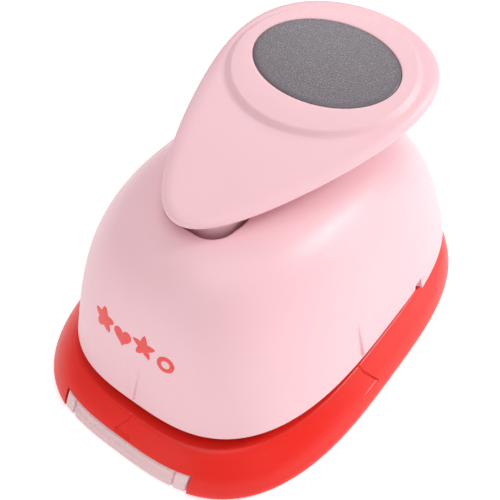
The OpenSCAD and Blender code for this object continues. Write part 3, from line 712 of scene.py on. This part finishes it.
def egg(k=400):
    """Even points of the lever's outline and their outward directions."""
    t = np.radians(np.arange(0, 360.01, 0.05))
    c, s = np.cos(t), np.sin(t)
    w = 1 + SWELL * s + FULL * s * s
    p = np.column_stack([LEVER_A * c * w, LEVER_Y + LEVER_B * s])
    n = np.column_stack([LEVER_B * c, LEVER_A * (s * w - c * c * (SWELL + 2 * FULL * s))])
    n /= np.linalg.norm(n, axis=1)[:, None]
    cum = np.concatenate([[0], np.cumsum(np.linalg.norm(np.diff(p, axis=0), axis=1))])
    u = np.arange(k) * cum[-1] / k
    return tuple(np.column_stack([np.interp(u, cum, v[:, 0]), np.interp(u, cum, v[:, 1])]) for v in (p, n))


def oval_at(a, b, cy, ang):
    c, s = np.cos(ang), np.sin(ang)
    r = 1 / np.sqrt((c / a) ** 2 + (s / b) ** 2)
    return np.column_stack([r * c, cy + r * s])


def shoulder_roll(p, n):
    """Radius of the rounded shoulder round the outline, as far as the raised step leaves room."""
    room = np.full(len(p), 9.0)
    for d in np.arange(0, 9, 0.05)[::-1]:
        q = p - n * d
        inside = (q[:, 0] / STEP_A) ** 2 + ((q[:, 1] - STEP_Y) / STEP_B) ** 2 < 1
        room = np.where(inside, d, room)
    roll = np.minimum(2.0 + 1.6 * np.clip((p[:, 1] + 28) / 22, 0, 1), 0.9 * room)
    for _ in range(12):
        roll = (np.roll(roll, 1) + roll + np.roll(roll, -1)) / 3
    return roll[:, None]


def skirt_rings(p, n, skirt):
    """Rings from the hollow underside, round the lower edge and up to the shoulder."""
    def ring(inset, share, z):
        return np.column_stack([p - n * inset, z - share * skirt])

    middle = np.array([0, LEVER_Y])
    rings = [level(middle + 0.7 * (p - middle), -PLATE)]
    rings += [ring(2.0, 0, -PLATE), ring(1.55, 0.02, -PLATE), ring(1.35, 0.12, -PLATE + 0.1)]
    rings += [ring(1.3, 0.12 + 0.8 * f, (0.1 - PLATE) * (1 - f)) for f in (0.33, 0.66, 1.0)]
    rings += [ring(1.27, 0.98, 0), ring(1.2, 1, 0), ring(1.05, 1, 0), ring(0.92, 0.98, 0)]
    rings += [ring(0.85 * (1 - f) ** 1.8, 0.95 - 0.45 * f, 0) for f in np.linspace(0, 1, 8)]
    return rings


def lever_mesh():
    p, n = egg()
    skirt = NOSE_SKIRT + (TAIL_SKIRT - NOSE_SKIRT) * (p[:, 1] - LEVER_Y + LEVER_B) / (2 * LEVER_B)
    ang = np.arctan2(p[:, 1] - STEP_Y, p[:, 0])

    def oval(a, b, cy, z):
        return level(oval_at(a, b, cy, ang), z)

    rings = skirt_rings(p, n, skirt)
    roll = shoulder_roll(p, n)
    for a in np.radians(np.linspace(0, 90, 15)[1:]):
        z = -0.5 * skirt * (1 - math.sin(a))
        rings.append(np.column_stack([p - n * (roll * (1 - math.cos(a))), z]))
    top = p - n * roll
    step = oval_at(STEP_A, STEP_B, STEP_Y, ang)
    rings += [level(top + (step - top) * f, 0) for f in np.linspace(0, 1, 10)[1:-1]]
    for f in np.linspace(0, 1, 13):
        inset = STEP_ROLL * f
        rings.append(oval(STEP_A - inset, STEP_B - inset, STEP_Y, STEP_H * f * f * (3 - 2 * f)))
    for d, down in ((0.75, 0), (0.3, 0), (0.16, 0.04), (0.1, 0.14), (0.1, PAD_SUNK)):
        rings.append(oval(PAD_A + d, PAD_B + d, PAD_Y, STEP_H - down))
    return loft("lever_shell", [tilted(r) for r in rings], 40)


def pad_mesh():
    """The grip pad: sunk into the step, with a rounded edge and a slight crown."""
    a = np.linspace(-math.pi, math.pi, 193)[:-1]
    profile = ((0, -PAD_SUNK), (0, -0.25), (0.06, -0.1), (0.2, 0), (PAD_EDGE, PAD_LIFT))
    rings = [level(oval_at(PAD_A - d, PAD_B - d, PAD_Y, a), STEP_H + z) for d, z in profile]
    for f in np.linspace(0, 0.97, 16):
        q = oval_at((PAD_A - PAD_EDGE) * (1 - f), (PAD_B - PAD_EDGE) * (1 - f), PAD_Y, a)
        rings.append(level(q, STEP_H + PAD_LIFT + 0.23 * (1 - (1 - f) ** 2)))
    return loft("grip_pad_grained", [tilted(r) for r in rings], 40)


place(lever_mesh(), "lever", "pink_plastic", "pink_lever", "lever_top")
place(pad_mesh(), "lever", "grey_grip", "pad", "grip_pad")


# ---------------------------------------------------------------- the row of printed shapes
def shape(kind, k=96):
    """Outline of a small printed figure of about unit half size, star-shaped about its middle."""
    a = np.arange(k) * 2 * math.pi / k + math.pi / 2
    if kind == "ring":
        return np.column_stack([np.cos(a), np.sin(a)])
    if kind == "flower":
        r = 0.82 + 0.2 * np.cos(5 * (a - math.pi / 2))
        return np.column_stack([r * np.cos(a), r * np.sin(a)])
    if kind == "star":
        f = np.abs(((a - math.pi / 2) * 5 / (2 * math.pi)) % 1 - 0.5) * 2
        r = 0.5 + 0.58 * f**1.25
        return np.column_stack([r * np.cos(a), r * np.sin(a)])
    t = a - math.pi / 2
    x = 16 * np.sin(t) ** 3
    y = 13 * np.cos(t) - 5 * np.cos(2 * t) - 2 * np.cos(3 * t) - np.cos(4 * t)
    return np.column_stack([-x / 16.5, (y + 2.2) / 15.5])


def printed(name, kind, x, z, size, hole):
    """A thin printed figure that follows the housing's front wall. A hole of 0 leaves it solid."""
    q = shape(kind) * size

    def on_wall(scale, out):
        px, pz = x + q[:, 0] * scale, z + q[:, 1] * scale
        return np.column_stack([px, front_y(px, pz) - out, pz])

    inner = hole if hole else 0.04
    profile = [(inner, -0.2), (1.0, -0.2), (1.0, 0.02), (0.97, 0.04)]
    profile += [(scale, 0.04) for scale in np.linspace(0.97, inner, 7)[1:]]
    rings = [on_wall(scale, out) for scale, out in profile]
    if hole:
        ob = make(name, np.concatenate(rings), grid_faces(len(rings), len(q), True), 40)
    else:
        ob = loft(name, rings, 40)
    place(ob, "frame", "red_plastic", "ink")


# kind, half size, hole, height above the row
PRINTS = (("flower", 2.5, 0, 0.5), ("heart", 2.1, 0, -0.5), ("star", 2.4, 0, 0.5), ("ring", 1.7, 0.5, -0.6))
for i, (kind, size, hole, up) in enumerate(PRINTS):
    printed(f"print_{i + 1}_{kind}", kind, PRINT_X + PRINT_STEP * i, PRINT_Z + up, size, hole)


# ---------------------------------------------------------------- springs
def spring(name, node, x):
    """A round wire coil that fills the node's box."""
    lo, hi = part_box(node)
    z0, z1 = lo.z / MM + WIRE_R, hi.z / MM - WIRE_R
    a = np.arange(14) * 2 * math.pi / 14
    up = np.array([0, 0, 1.0])
    rings = []
    for f in np.arange(241) / 240:
        t = 2 * math.pi * SPRING_TURNS * f
        radial = np.array([math.cos(t), math.sin(t), 0])
        c = np.array([x, PUNCH_Y, z0 + (z1 - z0) * f]) + SPRING_R * radial
        rings.append(c + WIRE_R * (np.cos(a)[:, None] * radial + np.sin(a)[:, None] * up))
    ob = loft(name, rings, 60)
    place(ob, "frame", "spring_steel", "spring", node)
    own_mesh(ob)


spring("return_spring_left", "spring_left", -SPRING_X)
spring("return_spring_right", "spring_right", SPRING_X)


# ---------------------------------------------------------------- carried-over CAD nodes
for node in NODES.values():
    if not node.hide_render:
        for used in node.material_slots:
            used.material = M[SLOT_MATERIAL[used.material.name]]


# ---------------------------------------------------------------- floor, light, camera
bpy.ops.mesh.primitive_grid_add(size=6, x_subdivisions=8, y_subdivisions=8, location=(0, 0, -0.0002))
floor = bpy.context.object
floor.name = "floor"
fm = Mat("pale_floor")
fm.colour(fm.ramp(fm.noise(3, 2), [(0.3, (0.95, 0.95, 0.95)), (0.7, (0.97, 0.97, 0.97))]))
fm.sets(Roughness=0.9, Specular_IOR_Level=0.1, Emission_Color=(1, 1, 1, 1), Emission_Strength=0.3)
floor.data.materials.append(fm.m)

world = bpy.data.worlds.new("studio")
bpy.context.scene.world = world
world.use_nodes = True
world.node_tree.nodes["Background"].inputs["Color"].default_value = (1, 1, 1, 1)
world.node_tree.nodes["Background"].inputs["Strength"].default_value = 0.5


def area(name, direction, distance, size, power, colour=(1, 1, 1)):
    """A soft box that looks at the object from the given direction."""
    light = bpy.data.lights.new(name, "AREA")
    light.shape, light.size, light.energy, light.color = "DISK", size, power, colour
    ob = bpy.data.objects.new(name, light)
    bpy.context.scene.collection.objects.link(ob)
    d = Vector(direction).normalized()
    ob.location = d * distance + Vector((0, 0, 0.025))
    ob.rotation_mode = "QUATERNION"
    ob.rotation_quaternion = d.to_track_quat("Z", "Y")


area("key_rear_right", (0.6, 0.62, 0.62), 0.7, 0.16, 1.9)
area("low_rear_right", (0.75, 0.68, 0.17), 0.9, 0.45, 1.0)
area("pad_sheen", (-0.4, 0.62, 0.67), 0.7, 0.3, 0.7)
area("top", (0.1, -0.3, 1), 0.8, 0.7, 1.9)
area("right", (1, -0.35, 0.5), 0.9, 0.5, 0.3)
area("front", (-0.1, -1, 0.4), 0.9, 0.5, 0.55)

cam_data = bpy.data.cameras.new("camera")
cam = bpy.data.objects.new("camera", cam_data)
bpy.context.scene.collection.objects.link(cam)
bpy.context.scene.camera = cam
AZ, EL, ROLL = (math.radians(v) for v in (34.3673, 47.6237, 2.7069))
back = Vector((math.sin(AZ) * math.cos(EL), -math.cos(AZ) * math.cos(EL), math.sin(EL)))
right = Vector((math.cos(AZ), math.sin(AZ), 0))
up = back.cross(right)
right2 = right * math.cos(ROLL) + up * math.sin(ROLL)
up2 = up * math.cos(ROLL) - right * math.sin(ROLL)
turn = Matrix((right2, up2, back)).transposed()
cam.rotation_mode = "QUATERNION"
cam.rotation_quaternion = turn.to_quaternion()
cam.location = Vector((-0.011171, 0.009951, 0)) + back * 0.18525
cam_data.lens, cam_data.sensor_width = 56.87, 36.0
cam_data.clip_start, cam_data.clip_end = 0.01, 20

bpy.context.scene.view_settings.view_transform = "Standard"
bpy.context.scene.view_settings.look = "None"
